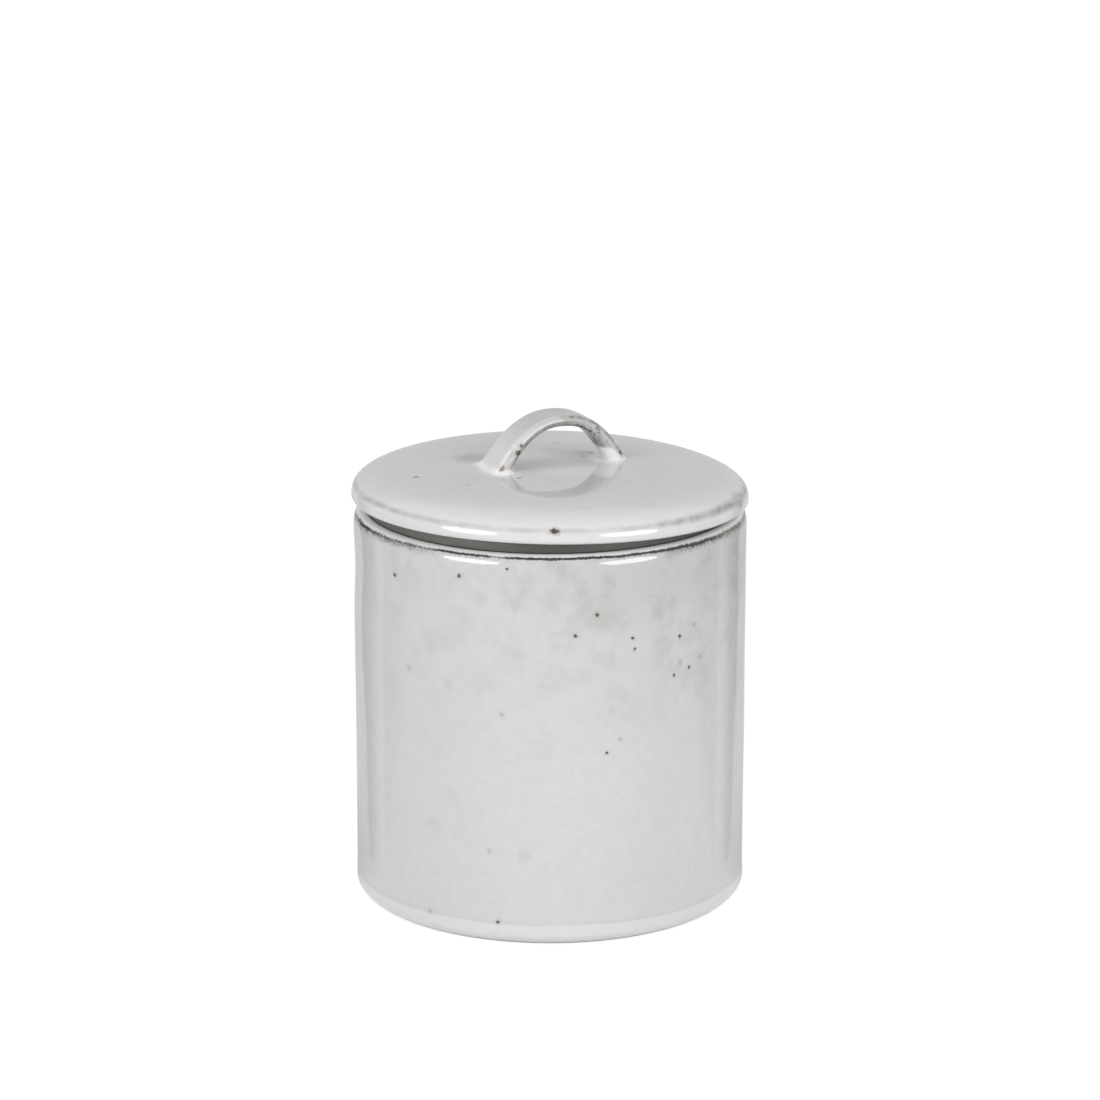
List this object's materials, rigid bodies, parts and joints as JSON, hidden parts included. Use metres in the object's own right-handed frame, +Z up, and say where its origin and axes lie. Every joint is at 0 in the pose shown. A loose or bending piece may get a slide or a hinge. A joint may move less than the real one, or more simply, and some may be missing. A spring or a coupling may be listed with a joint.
{
  "type": "lidded jar",
  "caption": "Straight round stoneware jar with a domed lift-off lid, a strap handle arched over the lid and a soft seal ring between lid and lip.",
  "frame": {"origin": "on the jar's axis, on the plane of the foot ring", "axes": "+Z up along the jar's axis, X along the strap handle at rest, Y across it"},
  "size_m": [0.1208, 0.1208, 0.1495],
  "materials": {
    "jar_glaze": "glossy pale grey-white glaze, mottled, with brown specks and a broken dark line at the lip",
    "lid_glaze": "glossy pale grey-white glaze with a faint broken line on the edge",
    "handle_glaze": "glossy pale glaze, thin and dark along the strap's edges",
    "seal_silicone": "matte dark grey silicone"
  },
  "bodies": {
    "jar": {"jar": "jar_glaze"},
    "seal": {"seal_ring": "seal_silicone"},
    "lid": {"lid": "lid_glaze", "lid_handle": "handle_glaze"}
  },
  "joints": [
    {"name": "lid_lift", "type": "slide", "parent": "jar", "child": "seal", "axis": [0, 0, 1], "range_m": [0, 0.12]},
    {"name": "lid_turn", "type": "hinge", "parent": "seal", "child": "lid", "pos_m": [0, 0, 0.1232], "axis": [0, 0, 1], "continuous": true}
  ]
}
